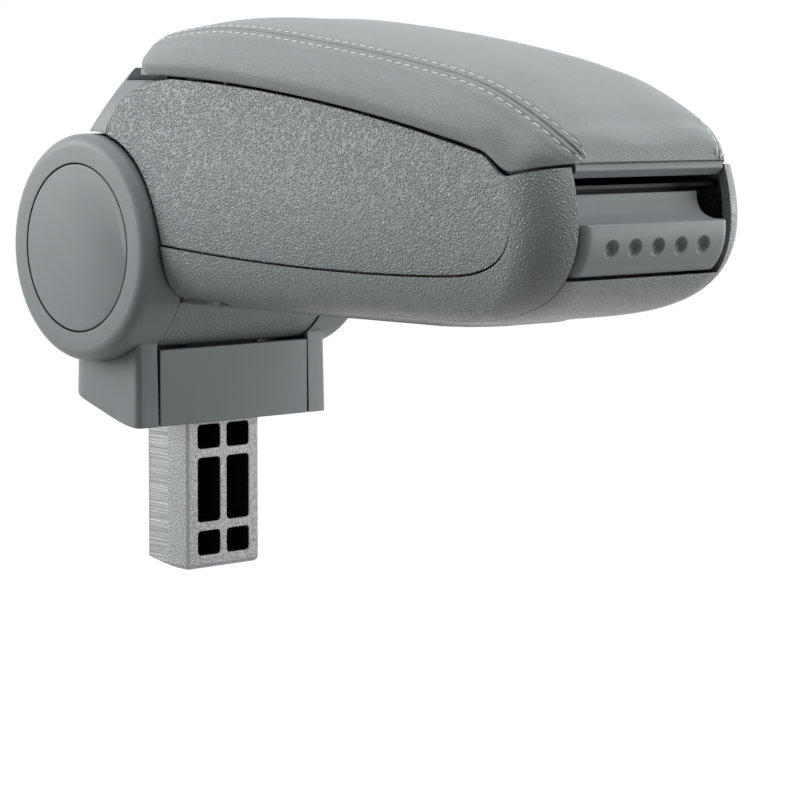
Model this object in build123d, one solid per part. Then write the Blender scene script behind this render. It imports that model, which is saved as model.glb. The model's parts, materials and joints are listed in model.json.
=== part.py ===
from build123d import *
import math
import os

# A folding car armrest: a stand with two round hubs on a cast post carries a storage arm,
# which has a padded lid hinged at its rear and a sprung release handle in its nose.
# Millimetres, +Z up, nose towards -Y, origin under the neck on the post's axis.
# Reach is forward of the pivot axis, rise is above it.

# Clearances
seat_gap = 0.3
running_gap = 0.06
shadow_gap = 1.3
swing_gap = 1.6
parting_gap = 1.0
cover_swing_gap = 1.2
inlay_gap = 0.9
handle_side_gap = 1.2
handle_mouth_gap = 1.5
tail_gap = 2.0

# Pivot and hubs
pivot_height = 84.0
hub_radius = 53.6
hub_span = 142.0
hub_throat = 93.0
hub_rim_round = 6.0
hub_well_depth = 17.0
hub_well_radius = 33.0
cap_radius = 39.4
cap_thickness = 3.2
cap_ring_gap = 0.6
cap_skirt_wall = 2.2
cap_skirt_depth = 7.0
axle_radius = 8.0
washer_radius = 15.0
washer_thickness = 1.8
nut_across_flats = 24.0
nut_height = 7.0
axle_head_radius = 13.0
axle_socket_radius = 5.0
axle_tip = 1.0

# Neck and its panel
neck_width = 117.0
neck_front = 31.0
neck_rear = 26.0
neck_height = 64.0
neck_wall = 3.0
neck_corner = 3.4
neck_rear_corner = 14.0
neck_draft = 1.2
neck_hem = ((31.0, -84.0), (26.0, -83.6), (2.0, -77.5), (-17.0, -71.4), (-34.0, -63.5))
panel_half_width = 45.2
panel_height = 36.0
panel_ledge = 24.6
panel_thickness = 3.0
panel_rib_spacing = 24.0
panel_rib_thickness = 2.5
panel_return = 9.0

# Cast post
post_width = 44.4
post_depth = 34.8
post_front = 21.8
post_drop = 72.0
post_front_corner = 1.5
post_rear_corner = 7.0
post_foot_round = 2.6
post_foot_reach = 14.0
post_foot_slope = 0.17
post_eye_radius = 20.0
pocket_width = 14.0
pocket_rib = 4.2
pocket_web = 3.8
pocket_rows = (11.8, 31.2, 11.9)
pocket_start = 2.3
pocket_depth = 27.0
pocket_round = 2.0
flange_thickness = 5.0
flange_height = 18.0
flange_fit = 1.0
stand_boss_radius = 4.6
stand_boss_height = 10.0
stand_boss_inset = 7.4
stand_screw_reaches = (14.0, -7.0)
screw_radius = 2.0
screw_head_radius = 3.4
screw_head_height = 2.4
screw_length = 14.0
pad_screw_length = 9.8
screw_tip_cover = 1.0

# Drum, flanges and bushes between the hubs
shroud_radius = 46.0
shroud_half_width = 36.0
shroud_wall = 2.2
sleeve_radius = 53.0
sleeve_wall = 3.0
sleeve_start = -62.0
sleeve_end = 58.0
flange_radius = 50.2
arm_half_throat = 45.6
bearing_half_width = 38.5
bush_radius = 11.0
bush_collar_radius = 16.0
bush_collar = 0.6
friction_radius = 22.0

# Arm body
arm_reach = 302.5
arm_half_width = 66.0
arm_keel = -26.0
arm_belt = 14.0
arm_roof = 92.0
arm_tail = 45.0
arm_taper = 3.0
nose_corner = 22.0
keel_turn = 28.0
nose_turn = 72.0
side_tumble = 5.0
keel_shares = (1.0, 0.82, 0.36, 0.0)
side_shares = (0.6, 1.0)
nose_rake = 30.0
tray_wall = 3.0
cheek_wall = 5.0
cheek_split = 46.0
rail_end = 76.0
rail_top = 34.0
inlay_step = 0.9
inlay_thickness = 2.2
inlay_hub_rise = 6.0
inlay_sill_reach = 100.0
inlay_sag = -3.0
inlay_sag_share = 0.65
inlay_nose_setback = 21.5
cheek_tail = ((14.0, 54.0), (18.8, 64.7), (24.2, 69.4), (34.2, 74.6), (47.0, 77.6), (66.0, 79.6))

# Nose end of the inlay: setback from its tip, rise above its sag
inlay_nose_curve = ((41.0, 1.0), (19.0, 4.0), (5.0, 12.0), (0.0, 25.0), (3.0, 42.0))

# Parting line between arm and lid
parting_rise = 80.6
parting_drop = 32.6
parting_run = arm_reach - 40.5
nose_sill_reach = arm_reach - 24.0
nose_sill_rise = 39.3
nose_sill_slope = 0.19

# Rear cover and lid hinge
cover_wall = 3.0
cover_front = 42.0
cover_roof = 78.6
cover_collar = 2.6
cover_edge_round = 8.0
hinge_reach = 20.5
hinge_rise = 83.0
hinge_pin_radius = 1.6
knuckle_radius = 3.2
knuckle_gap = 0.4
knuckle_stations = (7.0, 22.0, 34.0)
knuckle_web = 4.0
knuckle_foot = 76.0
hinge_tab = 2.0

# Rear cover from below the hub tops up to its collar: rise, reach of its back, half width
cover_sections = (
    (42.0, -12.5, 62.5),
    (54.0, -6.2, 62.5),
    (62.0, -1.0, 60.5),
    (70.5, 3.4, 56.5),
    (78.0, 6.8, 52.0),
    (84.6, 11.8, 48.5),
)

# Storage tub
tub_half_width = 43.0
tub_rear = 79.0
tub_front = arm_reach - 18.0
tub_wall = 2.0
tub_rim_drop = 5.5
tub_rim = 2.0
tub_rim_rear = 46.0
tub_screw_places = ((22.0, 105.0), (22.0, 215.0))
buffer_radius = 5.0
buffer_place = (51.0, arm_reach - 67.5)

# Lid
lid_edge = 4.5
lid_plate = 3.0
lid_rear = 24.5
lid_rear_corner = 21.0
pad_underhang = 14.0
lip_half_width = 44.3
lip_bottom = 38.5
lip_crease = 41.5
lip_top = 46.8
lip_front = arm_reach - 3.3
lip_depth = 12.0
lip_facet = 1.6
pad_skirt_turn = 1.5
pad_shoulder = 0.42
pad_screw_places = ((34.0, 70.0), (34.0, 215.0))

# Pad sections: share of the pad's length, half width at the skirt, seam half width, seam and crown rise
pad_rear = 22.0
pad_front = arm_reach - 4.0
pad_sections = (
    (0.0, 44.0, 36.0, 89.5, 92.0),
    (0.030, 55.0, 44.5, 95.5, 98.5),
    (0.083, 61.5, 48.0, 99.5, 103.8),
    (0.228, 63.0, 49.0, 101.7, 107.5),
    (0.390, 63.5, 49.2, 97.6, 105.2),
    (0.571, 63.5, 49.2, 90.6, 99.2),
    (0.734, 63.0, 48.7, 82.6, 91.2),
    (0.853, 62.0, 48.2, 73.8, 81.4),
    (0.933, 58.5, 47.5, 63.2, 70.0),
    (0.976, 53.0, 46.0, 55.6, 60.8),
    (1.0, 46.0, 43.0, 49.5, 52.5),
)

# Release handle
handle_half_width = 43.4
handle_ridge_half_width = 38.0
handle_front = arm_reach + 1.3
handle_bottom = -1.2
handle_lip = 20.0
handle_ridge = 31.6
handle_back = handle_front - 16.8
handle_land = 2.2
handle_wall = 3.4
handle_end_wall = 4.0
handle_scoop_sag = 2.75
handle_edge_round = 1.2
handle_end_round = 4.0
handle_side_round = 4.0
handle_pivot_reach = handle_front - 11.8
handle_pivot_rise = 5.0
handle_pin_radius = 1.8
handle_boss_radius = 4.5
handle_pin_cover = 3.0
dimple_count = 5
dimple_pitch = 13.8
dimple_radius = 4.0
dimple_depth = 2.4
dimple_rise = 9.5
coil_radius = 3.6
coil_wire = 0.45
coil_turns = 5
coil_pitch = 1.1
coil_place = 18.0

# Front of the handle from its foot up: setback from its front, rise
handle_face = ((7.8, -1.2), (4.4, 2.3), (0.8, 9.5), (0.0, 20.0), (0.0, 40.0))

# Worked-out places
hub_face = hub_span / 2
hub_inner = hub_throat / 2
web_face = hub_face - hub_well_depth
neck_half = neck_width / 2
stand_screw_places = [(neck_half - stand_boss_inset, reach) for reach in stand_screw_reaches]
cheek_clear_radius = hub_radius + swing_gap
cover_clear_radius = hub_radius + cover_swing_gap
side_reach = hub_span
overrun = 10.0
diagonal = math.sqrt(0.5)


def at(x, reach, rise):
    return Vector(x, -reach, pivot_height + rise)


def across(place):
    return Vector(-place.X, place.Y, place.Z)


def polar(radius, degrees):
    return (radius * math.cos(math.radians(degrees)), radius * math.sin(math.radians(degrees)))


def line(x, a, b):
    return Edge.make_line(at(x, *a), at(x, *b))


def arc(x, a, b, c):
    return Edge.make_three_point_arc(at(x, *a), at(x, *b), at(x, *c))


def curve(x, points, tangents=None):
    vectors = None
    if tangents:
        vectors = [Vector(0, -reach, rise) for reach, rise in tangents]
    return Edge.make_spline([at(x, *p) for p in points], tangents=vectors)


def chain(x, *points):
    return [line(x, a, b) for a, b in zip(points, points[1:])]


def prism(start, end, edges):
    # Solid between two lateral stations from side-view edges drawn at the first
    return Solid.extrude(Face(Wire(edges)), Vector(end - start, 0, 0))


def polygon_prism(start, end, *points):
    return prism(start, end, chain(start, *points, points[0]))


def disc(radius, start, end, reach=0.0, rise=0.0):
    middle = at((start + end) / 2, reach, rise)
    return Pos(*middle) * Rot(0, 90, 0) * Cylinder(radius, abs(end - start))


def ring(outer, inner, start, end, reach=0.0, rise=0.0):
    return disc(outer, start, end, reach, rise) - disc(inner, start - overrun, end + overrun, reach, rise)


def block(x0, x1, reach0, reach1, rise0, rise1):
    middle = at((x0 + x1) / 2, (reach0 + reach1) / 2, (rise0 + rise1) / 2)
    return Pos(*middle) * Box(abs(x1 - x0), abs(reach1 - reach0), abs(rise1 - rise0))


def mirrored(piece):
    return mirror(piece, about=Plane.YZ)


def upright(radius, x, reach, z0, z1):
    return Pos(x, -reach, (z0 + z1) / 2) * Cylinder(radius, z1 - z0)


# Arm envelope


def arm_section(half, front, corner, tail, rise):
    # Plan outline at one height: tapered sides, rounded nose corners, straight tail
    narrow = half - arm_taper
    run = front + tail
    side = Vector(arm_taper, -run, 0).normalized()
    turn = math.pi / 2 - math.atan(arm_taper / run)
    tangent = corner * math.tan(turn / 2)
    left_tail = at(-half, -tail, rise)
    left_corner = at(-narrow, front, rise)
    left_start = left_corner - side * tangent
    left_end = left_corner + Vector(tangent, 0, 0)
    right_start = across(left_end)
    right_end = across(left_start)
    right_tail = across(left_tail)
    return Wire([
        Edge.make_line(left_tail, left_start),
        Edge.make_tangent_arc(left_start, side, left_end),
        Edge.make_line(left_end, right_start),
        Edge.make_tangent_arc(right_start, Vector(1, 0, 0), right_end),
        Edge.make_line(right_end, right_tail),
        Edge.make_line(right_tail, left_tail),
    ])


def arm_block(inset):
    # Whole outer form of the arm, lofted upwards from the keel. An inset draws the sides, nose and
    # keel in, and lets the open tail and roof run on
    sections = []
    corner = nose_corner - inset
    tail = arm_tail + inset
    depth = arm_belt - arm_keel - inset
    height = arm_roof - arm_belt + inset
    for share in keel_shares:
        bend = 1 - math.sqrt(1 - share * share)
        half = arm_half_width - inset - keel_turn * bend
        front = arm_reach - inset - nose_turn * bend
        sections.append(arm_section(half, front, corner, tail, arm_belt - depth * share))
    for share in side_shares:
        half = arm_half_width - inset - side_tumble * share ** 2
        front = arm_reach - inset - nose_rake * share ** 2
        sections.append(arm_section(half, front, corner, tail, arm_belt + height * share))
    return Solid.make_loft(sections)


def parting_rise_at(reach):
    if reach <= parting_run:
        return parting_rise - parting_drop * (reach / parting_run) ** 2
    return nose_sill_rise + nose_sill_slope * (reach - nose_sill_reach)


def parting_edges(x, lift):
    # Parabola over the arm, a dip at the lid's front corner, then the nose sill
    dip = parting_rise - parting_drop
    fall = -2 * parting_drop / parting_run
    crest = at(x, 0, parting_rise + lift)
    knee = at(x, parting_run / 2, parting_rise + lift)
    foot = at(x, parting_run, dip + lift)
    sill = (nose_sill_reach, nose_sill_rise + lift)
    end = (arm_reach + overrun, parting_rise_at(arm_reach + overrun) + lift)
    return [
        line(x, (-arm_tail - overrun, parting_rise + lift), (0, parting_rise + lift)),
        Edge.make_bezier(crest, knee, foot),
        curve(x, [(parting_run, dip + lift), sill], [(1, fall), (1, nose_sill_slope)]),
        line(x, sill, end),
    ]


def above_parting(lift):
    start = (-arm_tail - overrun, parting_rise + lift)
    end = (arm_reach + overrun, parting_rise_at(arm_reach + overrun) + lift)
    top = 2 * arm_roof
    edges = parting_edges(-side_reach, lift)
    edges += chain(-side_reach, end, (end[0], top), (start[0], top), start)
    return prism(-side_reach, side_reach, edges)


outer_arm = arm_block(0.0)
lid_room = above_parting(0.0)
hub_room = disc(cheek_clear_radius, -side_reach, side_reach)


# Stand


def neck_solid(inset, height, draft):
    # Plan with tight front corners and full rear ones, drawn in upwards by its draft
    front = neck_front - inset
    rear = neck_rear - inset
    plan = Pos(0, (rear - front) / 2) * Rectangle(2 * (neck_half - inset), front + rear)
    plan = fillet(plan.vertices().sort_by(Axis.Y)[:2], max(neck_corner - inset, seat_gap))
    plan = fillet(plan.vertices().sort_by(Axis.Y)[-2:], neck_rear_corner - inset)
    return extrude(plan, amount=height, taper=draft)


def below_hem():
    # Room under the neck's lower edge, which rises towards the rear
    front, rear = neck_hem[0], neck_hem[-1]
    floor = front[1] - overrun
    edges = [curve(-side_reach, neck_hem)]
    edges += chain(-side_reach, rear, (rear[0], floor), (front[0], floor), front)
    return prism(-side_reach, side_reach, edges)


def build_stand_left():
    hub = disc(hub_radius, -hub_face, -hub_inner)
    rim = hub.edges().filter_by(GeomType.CIRCLE).sort_by(Axis.X)[0]
    hub = fillet(rim, hub_rim_round)
    neck = neck_solid(0.0, neck_height, neck_draft) - neck_solid(neck_wall, neck_height, neck_draft)
    neck -= block(-panel_half_width - shadow_gap, side_reach, 0, neck_front + overrun, -pivot_height, 0)
    neck &= block(-side_reach, -seat_gap / 2, -side_reach, side_reach, -pivot_height, 0)
    neck -= disc(hub_radius + swing_gap, -hub_inner, 0)
    for x, reach in stand_screw_places:
        boss_foot = flange_height + flange_thickness + seat_gap / 2
        neck += upright(stand_boss_radius, -x, reach, boss_foot, boss_foot + stand_boss_height)
    keep = neck_solid(0.0, neck_height, neck_draft)
    stand = hub + ((neck & keep) - below_hem())
    stand -= disc(cap_radius + cap_ring_gap, -hub_face - overrun, -hub_face + cap_thickness)
    stand -= disc(hub_well_radius, -hub_face, -web_face)
    stand -= disc(axle_radius + running_gap, -hub_face, 0)
    for x, reach in stand_screw_places:
        hole_foot = flange_height + flange_thickness - overrun
        stand -= upright(screw_radius + running_gap, -x, reach, hole_foot,
                         flange_height + screw_length + seat_gap)
    return stand


def build_hub_cap_left():
    cap = disc(cap_radius, -hub_face, -hub_face + cap_thickness - seat_gap)
    rim = cap.edges().filter_by(GeomType.CIRCLE).sort_by(Axis.X)[0]
    cap = fillet(rim, cap_thickness / 4)
    skirt_outer = hub_well_radius - seat_gap
    skirt_start = -hub_face + cap_thickness - seat_gap
    return cap + ring(skirt_outer, skirt_outer - cap_skirt_wall, skirt_start, skirt_start + cap_skirt_depth)


def build_neck_front_panel():
    bottom = -pivot_height
    top = bottom + panel_height
    half = panel_half_width
    back = neck_front - panel_thickness
    panel = block(-half, half, back, neck_front, bottom, top)
    panel += block(-half, half, panel_ledge, back, top - panel_thickness, top)
    return_foot = bottom + flange_height + flange_thickness + seat_gap
    for side in (-1, 1):
        edge = side * half
        inner = side * (half - panel_thickness)
        panel += block(inner, edge, back - panel_return, back, return_foot, top)
        rib = side * panel_rib_spacing / 2
        half_rib = panel_rib_thickness / 2
        panel += block(rib - half_rib, rib + half_rib, post_front + seat_gap, back, return_foot, top)
    return panel


def build_pivot_shroud():
    half = shroud_half_width
    drum = disc(shroud_radius, -half, half)
    drum -= disc(shroud_radius - shroud_wall, -half + shroud_wall, half - shroud_wall)
    drum -= disc(axle_radius + running_gap, -half - overrun, half + overrun)
    slot_half = post_width / 2 + seat_gap
    slot_front = max(post_front, post_eye_radius) + seat_gap
    slot_rear = min(post_front - post_depth, -post_eye_radius) - seat_gap
    return drum - block(-slot_half, slot_half, slot_rear, slot_front, -shroud_radius - overrun, 0)


def pocket_row_middles():
    middles = []
    z = -pocket_start
    for height in pocket_rows:
        middles.append((z - height / 2, height))
        z -= height + pocket_rib
    return middles


def build_mounting_post():
    rear = post_front - post_depth
    plan = Pos(0, -(post_front + rear) / 2) * Rectangle(post_width, post_depth)
    corners = plan.vertices().sort_by(Axis.Y)
    plan = fillet(corners[:2], post_front_corner)
    plan = fillet(plan.vertices().sort_by(Axis.Y)[-2:], post_rear_corner)
    post = Pos(0, 0, -post_drop) * extrude(plan, amount=post_drop + flange_height)
    foot = post.faces().sort_by(Axis.Z)[0]
    post = fillet(foot.edges(), post_foot_round)
    low = -pivot_height - post_drop
    heel = rear - overrun
    post -= polygon_prism(
        -side_reach, side_reach,
        (post_foot_reach, low),
        (heel, low + post_foot_slope * (post_foot_reach - heel)),
        (heel, low - overrun),
    )
    half = post_width / 2
    bottom = flange_height - pivot_height
    post += polygon_prism(
        -half, half,
        (post_front, bottom), (post_eye_radius, 0), (-post_eye_radius, 0), (rear, bottom),
    )
    post += disc(post_eye_radius, -half, half)
    flange = neck_solid(neck_wall + flange_fit, flange_thickness, neck_draft)
    flange &= block(-side_reach, side_reach, -side_reach, neck_front - panel_thickness - seat_gap,
                    -pivot_height, 0)
    post += Pos(0, 0, flange_height) * flange
    for side in (-1, 1):
        for x, reach in stand_screw_places:
            post -= upright(screw_radius + seat_gap, side * x, reach, 0, pivot_height / 2)
        column = side * (pocket_width + pocket_web) / 2
        for middle, height in pocket_row_middles():
            pocket = extrude(RectangleRounded(pocket_width, height, pocket_round), amount=pocket_depth)
            post -= Pos(column, -post_front, middle) * Rot(-90, 0, 0) * pocket
    return post - disc(axle_radius + running_gap, -side_reach, side_reach)


def build_pivot_axle():
    end = web_face + washer_thickness + nut_height + axle_tip
    seat = -web_face - washer_thickness
    axle = disc(axle_radius, seat, end)
    axle += disc(axle_head_radius, seat - nut_height, seat)
    socket = Plane.YZ.offset(seat - nut_height) * RegularPolygon(axle_socket_radius, 6)
    socket = Pos(0, 0, pivot_height) * extrude(socket, amount=nut_height / 2)
    return axle - socket


def build_axle_nut():
    flats = nut_across_flats / 2
    nut = Plane.YZ.offset(web_face + washer_thickness) * RegularPolygon(flats, 6, major_radius=False)
    nut = Pos(0, 0, pivot_height) * extrude(nut, amount=nut_height)
    return nut - disc(axle_radius, 0, side_reach)


def build_axle_washers():
    washer = ring(washer_radius, axle_radius + seat_gap, web_face, web_face + washer_thickness)
    return Compound([washer.solid(), mirrored(washer).solid()])


def build_friction_washers():
    inner = shroud_half_width
    washer = ring(friction_radius, axle_radius + seat_gap, inner, bearing_half_width - seat_gap)
    return Compound([washer.solid(), mirrored(washer).solid()])


def screw(x, reach, z, length, up):
    # Pan-head screw whose shank runs up or down from the seat of its head
    way = 1 if up else -1
    head = upright(screw_head_radius, x, reach, min(z, z - way * screw_head_height),
                   max(z, z - way * screw_head_height))
    shank = upright(screw_radius, x, reach, min(z, z + way * length), max(z, z + way * length))
    return (head + shank).solid()


def build_stand_screws():
    screws = []
    for side in (-1, 1):
        for x, reach in stand_screw_places:
            screws.append(screw(side * x, reach, flange_height, screw_length, True))
    return Compound(screws)


# Arm


def build_arm_tray():
    half = arm_half_throat
    shell = outer_arm - arm_block(tray_wall)
    mouth = handle_bottom - handle_mouth_gap
    shell &= block(-half, half, 0, arm_reach + overrun, arm_keel - overrun, mouth)
    shell -= disc(sleeve_radius, -half - overrun, half + overrun)
    inner = sleeve_radius - sleeve_wall
    middle = (sleeve_start + sleeve_end) / 2
    sleeve = prism(-half, half, [
        arc(-half, polar(sleeve_radius, sleeve_start), polar(sleeve_radius, middle),
            polar(sleeve_radius, sleeve_end)),
        line(-half, polar(sleeve_radius, sleeve_end), polar(inner, sleeve_end)),
        arc(-half, polar(inner, sleeve_end), polar(inner, middle), polar(inner, sleeve_start)),
        line(-half, polar(inner, sleeve_start), polar(sleeve_radius, sleeve_start)),
    ])
    tray = shell + sleeve
    floor = arm_keel + tray_wall / 2
    for side in (-1, 1):
        start, end = sorted((side * bearing_half_width, side * half))
        tray += disc(flange_radius, start, end)
        tray += polygon_prism(
            start, end,
            (hub_radius / 2, floor), (rail_end, floor), (rail_end, 0),
            (sleeve_radius - sleeve_wall / 2, rail_top), (hub_radius / 2, rail_top),
        )
    for side in (-1, 1):
        for x, reach in tub_screw_places:
            hole_foot = pivot_height + arm_keel + screw_tip_cover - seat_gap
            tray -= upright(screw_radius + running_gap, side * x, reach, hole_foot, pivot_height)
    return tray - disc(bush_radius, -half - overrun, half + overrun)


def inlay_outline(x, grow):
    # Sill rises a little to the hub, the nose end turns up to the parting line
    nose = arm_reach - inlay_nose_setback + grow
    sag = inlay_sag - grow
    top = arm_roof + overrun
    tail = (hub_radius / 2, inlay_hub_rise - grow)
    sill = [tail, (inlay_sill_reach, -grow), (inlay_sag_share * arm_reach, sag)]
    sill += [(nose - setback, sag + rise) for setback, rise in inlay_nose_curve]
    tip = sill[-1]
    return [
        curve(x, sill),
        *chain(x, tip, (tip[0], top), (-arm_tail, top), (-arm_tail, tail[1]), tail),
    ]


def cheek_tail_room(gap):
    # Room behind the rounded upper rear corner of the cheek
    points = [(reach - gap * diagonal, rise + gap * diagonal) for reach, rise in cheek_tail]
    end = points[-1]
    top = arm_roof + overrun
    back = -arm_tail - 2 * overrun
    return prism(-side_reach, side_reach, [
        curve(-side_reach, points),
        *chain(-side_reach, end, (end[0], top), (back, top), (back, arm_keel), (0, 0), points[0]),
    ])


def trim_side(piece):
    piece &= block(-side_reach, -cheek_split, -side_reach, arm_reach + overrun,
                   arm_keel - overrun, arm_roof + overrun)
    return piece - lid_room - hub_room - cheek_tail_room(0.0)


def build_cheek_left():
    cheek = trim_side(outer_arm - arm_block(cheek_wall))
    recess = prism(-side_reach, -cheek_split, inlay_outline(-side_reach, inlay_gap))
    recess -= arm_block(inlay_step + inlay_thickness + seat_gap)
    cheek -= recess
    boss_end = arm_half_width - nose_corner / 2
    boss = disc(handle_boss_radius, -boss_end, -handle_half_width - handle_side_gap,
                handle_pivot_reach, handle_pivot_rise)
    cheek += boss & outer_arm
    return cheek - disc(handle_pin_radius, -boss_end + handle_pin_cover, 0,
                        handle_pivot_reach, handle_pivot_rise)


def build_inlay_left():
    plate = arm_block(inlay_step) - arm_block(inlay_step + inlay_thickness)
    return trim_side(plate & prism(-side_reach, -cheek_split, inlay_outline(-side_reach, 0.0)))


def cover_block(inset):
    # Outer form of the rear cover, narrower and further forward towards its top
    corner = cover_edge_round - inset
    sections = []
    for rise, back, half in cover_sections:
        rear = back + inset
        wide = half - inset
        start = at(-wide, cover_front, rise)
        left_end = at(-wide, rear + corner, rise)
        rear_start = at(corner - wide, rear, rise)
        sections.append(Wire([
            Edge.make_line(start, left_end),
            Edge.make_tangent_arc(left_end, Vector(0, 1, 0), rear_start),
            Edge.make_line(rear_start, across(rear_start)),
            Edge.make_tangent_arc(across(rear_start), Vector(1, 0, 0), across(left_end)),
            Edge.make_line(across(left_end), across(start)),
            Edge.make_line(across(start), start),
        ]))
    return Solid.make_loft(sections)


def build_rear_cover():
    collar = cover_sections[-1][1] + cover_collar
    cover = cover_block(0.0)
    cover -= block(-side_reach, side_reach, collar, side_reach, cover_roof, 2 * arm_roof)
    hollow = cover_block(cover_wall)
    cover -= hollow & block(-side_reach, side_reach, -side_reach, side_reach, 0, cover_roof - cover_wall)
    tail = cheek_tail_room(tail_gap)
    inner = block(-cheek_split + seat_gap, cheek_split - seat_gap, -arm_tail, side_reach, 0, arm_roof)
    cover = (cover & tail) + (cover & inner)
    swing = disc(cover_clear_radius, -side_reach, side_reach)
    swing -= disc(cover_clear_radius + overrun, -arm_half_throat, arm_half_throat)
    swing += disc(sleeve_radius + seat_gap, -side_reach, side_reach)
    cover -= swing
    stations = (0.0, *knuckle_stations)
    for side in (-1, 1):
        for start, end in ((stations[0], stations[1]), (stations[2], stations[3])):
            x0, x1 = sorted((side * start, side * end))
            cover += disc(knuckle_radius, x0, x1, hinge_reach, hinge_rise)
            cover += block(x0, x1, hinge_reach - knuckle_web / 2, hinge_reach + knuckle_web / 2,
                           knuckle_foot, hinge_rise)
    return cover - disc(hinge_pin_radius, -side_reach, side_reach, hinge_reach, hinge_rise)


def build_storage_tub():
    below = arm_roof - arm_keel
    half = tub_half_width
    well = arm_block(tray_wall + seat_gap) & block(-half, half, tub_rear, tub_front, -below, arm_roof)
    inner = half - tub_wall
    hollow = arm_block(tray_wall + seat_gap + tub_wall)
    hollow &= block(-inner, inner, tub_rear + tub_wall, tub_front - tub_wall, -below, arm_roof)
    deck = arm_block(cheek_wall + seat_gap)
    deck &= block(-side_reach, side_reach, tub_rim_rear, tub_front, 0, arm_roof)
    deck &= above_parting(-tub_rim_drop - tub_rim)
    tub = (well + deck) - hollow - above_parting(-tub_rim_drop)
    for side in (-1, 1):
        for x, reach in tub_screw_places:
            tub -= upright(screw_radius + seat_gap, side * x, reach, 0, pivot_height)
    return tub


def build_pivot_bushes():
    start = bearing_half_width
    collar_start = arm_half_throat + seat_gap / 4
    bush = disc(bush_radius - running_gap, start, collar_start + bush_collar)
    bush += disc(bush_collar_radius, collar_start, collar_start + bush_collar)
    bush -= disc(axle_radius + running_gap, 0, side_reach)
    return Compound([bush.solid(), mirrored(bush).solid()])


def build_tub_screws():
    seat = pivot_height + arm_keel + tray_wall + seat_gap + tub_wall
    screws = []
    for side in (-1, 1):
        for x, reach in tub_screw_places:
            length = tray_wall + tub_wall - screw_tip_cover
            screws.append(screw(side * x, reach, seat, length, False))
    return Compound(screws)


def build_handle_pin():
    end = arm_half_width - nose_corner / 2 - handle_pin_cover - seat_gap
    return disc(handle_pin_radius - running_gap, -end, end, handle_pivot_reach, handle_pivot_rise)


def build_lid_hinge_pin():
    end = knuckle_stations[-1] - seat_gap
    return disc(hinge_pin_radius - running_gap, -end, end, hinge_reach, hinge_rise)


def build_lid_buffers():
    x, reach = buffer_place
    deck = pivot_height + parting_rise_at(reach) - tub_rim_drop
    top = pivot_height + parting_rise_at(reach) + parting_gap
    tall = upright(buffer_radius, x, reach, deck - tub_rim, top + tub_rim)
    pad = tall & above_parting(-tub_rim_drop)
    pad -= above_parting(parting_gap - seat_gap)
    return Compound([pad.solid(), mirrored(pad).solid()])


# Lid


def lid_band(bottom, top, edge):
    # Layer that follows the parting line, drawn in from the arm's sides, with rounded rear corners
    plan = block(-arm_half_width + edge, arm_half_width - edge, lid_rear, arm_reach - lid_edge,
                 0, 2 * arm_roof)
    rear = plan.edges().filter_by(Axis.Z).sort_by(Axis.Y)[-2:]
    plan = fillet(rear, lid_rear_corner)
    return (above_parting(bottom) & arm_block(edge) & plan) - above_parting(top)


def lip_solid(gap):
    half = lip_half_width + gap
    back = lip_front - lip_depth
    return polygon_prism(
        -half, half,
        (lip_front - 2 * lip_facet, lip_bottom - gap), (lip_front + gap, lip_crease),
        (lip_front - lip_facet / 2 + gap, lip_top + gap), (back - gap, lip_top + gap),
        (back - gap, lip_crease - gap),
    )


def build_lid_base():
    base = lid_band(parting_gap, parting_gap + lid_plate, lid_edge)
    base += lip_solid(0.0)
    rise = parting_rise_at(hinge_reach) + parting_gap
    for side in (-1, 1):
        start = knuckle_stations[0] + knuckle_gap
        end = knuckle_stations[1] - knuckle_gap
        x0, x1 = sorted((side * start, side * end))
        base += disc(knuckle_radius, x0, x1, hinge_reach, hinge_rise)
        base += block(x0, x1, hinge_reach, lid_rear + hinge_tab, rise, hinge_rise + knuckle_radius)
        base -= disc(hinge_pin_radius + running_gap, x0 - knuckle_gap, x1 + knuckle_gap,
                     hinge_reach, hinge_rise)
    for side in (-1, 1):
        for x, reach in pad_screw_places:
            base -= upright(screw_radius + seat_gap, side * x, reach, pivot_height,
                            pivot_height + 2 * arm_roof)
    return base


def pad_wire(share, skirt, seam, seam_rise, crown):
    reach = pad_rear + share * (pad_front - pad_rear)
    bottom = parting_rise_at(reach) - pad_underhang
    side_rise = bottom + pad_underhang + pad_shoulder * (seam_rise - bottom - pad_underhang)
    right = [(skirt - pad_skirt_turn, bottom), (skirt, side_rise), (seam, seam_rise)]
    left = [(-x, rise) for x, rise in right]
    points = [at(x, reach, rise) for x, rise in (*left, (0.0, crown), *reversed(right))]
    return Wire([Edge.make_spline(points), Edge.make_line(points[-1], points[0])])


def build_lid_pad():
    pad = Solid.make_loft([pad_wire(*section) for section in pad_sections], ruled=True)
    pad &= above_parting(parting_gap)
    pad -= lid_band(-parting_gap, parting_gap + lid_plate + seat_gap, lid_edge - seat_gap)
    pad -= lip_solid(seat_gap)
    knuckles = knuckle_stations[-1] + shadow_gap
    pad -= block(-knuckles, knuckles, 0, lid_rear + hinge_tab, 0,
                 hinge_rise + knuckle_radius + seat_gap)
    for side in (-1, 1):
        for x, place in pad_screw_places:
            top = pivot_height + parting_rise_at(place) + screw_length
            pad -= upright(screw_radius + running_gap, side * x, place, pivot_height, top)
    return pad.solids().sort_by(SortBy.VOLUME)[-1]


def build_pad_screws():
    screws = []
    for side in (-1, 1):
        for x, reach in pad_screw_places:
            seat = pivot_height + parting_rise_at(reach + screw_head_radius) + parting_gap
            screws.append(screw(side * x, reach, seat - seat_gap, pad_screw_length, True))
    return Compound(screws)


# Release handle


def handle_front_points(depth):
    return [(handle_front - setback - depth, rise) for setback, rise in handle_face]


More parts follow.
